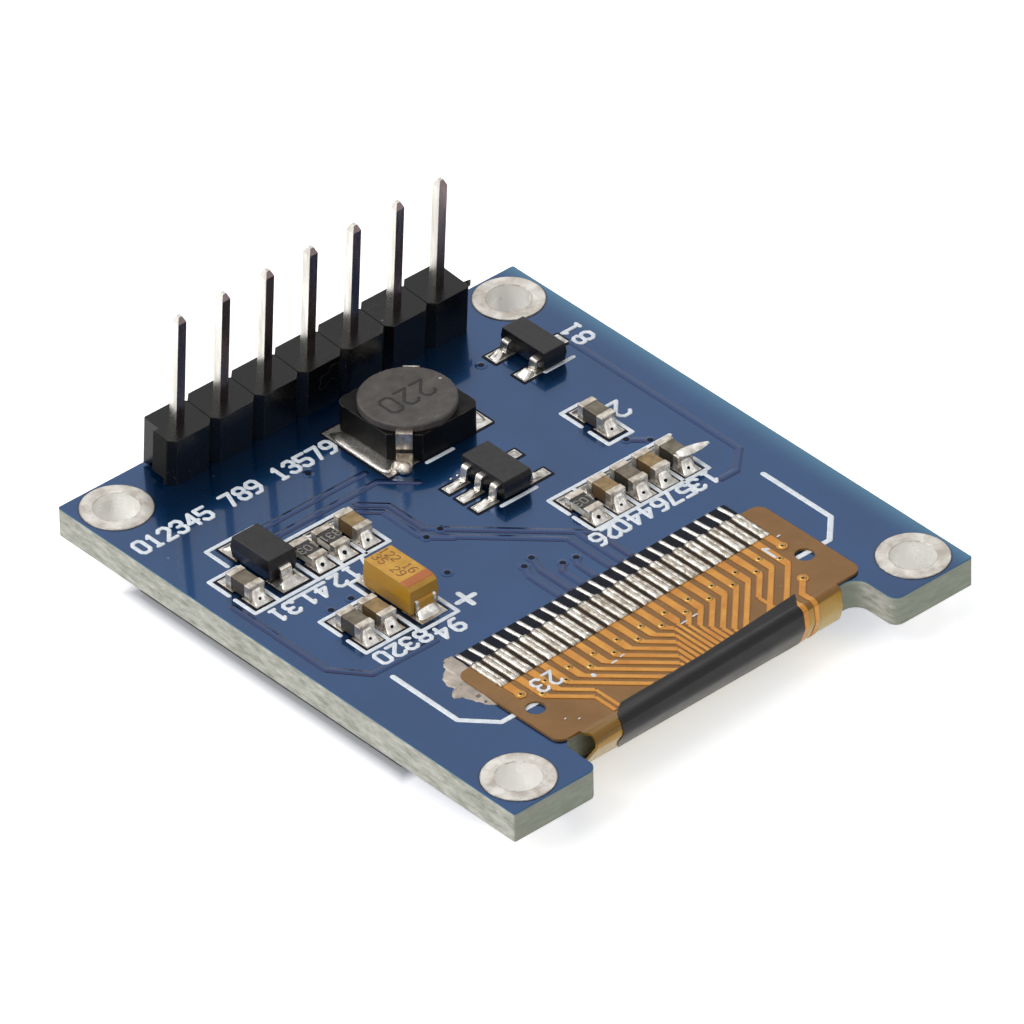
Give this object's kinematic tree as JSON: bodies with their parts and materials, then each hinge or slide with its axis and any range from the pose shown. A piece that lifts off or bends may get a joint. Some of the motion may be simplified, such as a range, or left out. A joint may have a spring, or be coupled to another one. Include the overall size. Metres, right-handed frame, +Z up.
{
  "type": "small oled display module",
  "caption": "Small display board lying face down: blue circuit board with mounting holes, pin header, chip parts, a power inductor and a flex ribbon wrapped round its edge to the display",
  "frame": {"origin": "middle of the board in plan, on the display's face, which is the lowest surface as the module lies", "axes": "+X along the pin header, +Y towards the header's edge, +Z up from the component side of the board"},
  "size_m": [0.0268, 0.03, 0.0115],
  "materials": {
    "solder_mask": "glossy blue lacquer over woven glass board",
    "ring_tin": "tinned, slightly uneven",
    "polariser": "smooth dark film",
    "display_glass": "polished, seen dark",
    "cover_glass": "polished, seen dark",
    "silicon": "smooth grey chip",
    "adhesive": "thin foam tape",
    "header_plastic": "satin black moulding",
    "pin_metal": "tinned square wire",
    "solder": "bright solder",
    "pad_tin": "tinned pads",
    "landing_tin": "tinned landings",
    "finger_tin": "soldered, streaked",
    "ribbon_film": "amber film",
    "tape": "satin black tape",
    "ribbon_copper": "copper under amber film",
    "flux": "dried flux and solder",
    "ferrite_base": "dark ferrite",
    "ferrite_drum": "fine-grained ferrite",
    "winding_copper": "enamelled copper wire",
    "clip_tin": "tinned clip",
    "tantalum_case": "satin ochre moulding",
    "lead_tin": "tinned lead",
    "end_tin": "tinned chip end",
    "capacitor_ceramic": "matt beige-brown ceramic",
    "resistor_ceramic": "black glaze over ceramic",
    "package_plastic": "fine matt black moulding"
  },
  "bodies": {
    "root": {"capacitor_1_body": "capacitor_ceramic", "capacitor_1_ends": "end_tin", "capacitor_2_body": "capacitor_ceramic", "capacitor_2_ends": "end_tin", "capacitor_3_body": "capacitor_ceramic", "capacitor_3_ends": "end_tin", "capacitor_4_body": "capacitor_ceramic", "capacitor_4_ends": "end_tin", "capacitor_5_body": "capacitor_ceramic", "capacitor_5_ends": "end_tin", "capacitor_6_body": "capacitor_ceramic", "capacitor_6_ends": "end_tin", "capacitor_7_body": "capacitor_ceramic", "capacitor_7_ends": "end_tin", "capacitor_8_body": "capacitor_ceramic", "capacitor_8_ends": "end_tin", "capacitor_9_body": "capacitor_ceramic", "capacitor_9_ends": "end_tin", "circuit_board": "solder_mask", "contact_fingers": "finger_tin", "contact_landings": "landing_tin", "diode_body": "package_plastic", "diode_leads": "lead_tin", "display_adhesive": "adhesive", "display_cover": "cover_glass", "display_driver": "silicon", "display_glass": "display_glass", "display_polariser": "polariser", "flux_spill": "flux", "header_housing": "header_plastic", "header_joints": "solder", "header_pin_1": "pin_metal", "header_pin_2": "pin_metal", "header_pin_3": "pin_metal", "header_pin_4": "pin_metal", "header_pin_5": "pin_metal", "header_pin_6": "pin_metal", "header_pin_7": "pin_metal", "inductor_base": "ferrite_base", "inductor_clips": "clip_tin", "inductor_drum": "ferrite_drum", "inductor_winding": "winding_copper", "mounting_rings": "ring_tin", "regulator_body": "package_plastic", "regulator_leads": "lead_tin", "resistor_1_body": "resistor_ceramic", "resistor_1_ends": "end_tin", "resistor_2_body": "resistor_ceramic", "resistor_2_ends": "end_tin", "resistor_3_body": "resistor_ceramic", "resistor_3_ends": "end_tin", "ribbon_conductors": "ribbon_copper", "ribbon_film": "ribbon_film", "ribbon_tape": "tape", "solder_joints": "solder", "solder_pads": "pad_tin", "tantalum_body": "tantalum_case", "tantalum_leads": "lead_tin", "transistor_body": "package_plastic", "transistor_leads": "lead_tin"}
  },
  "joints": []
}
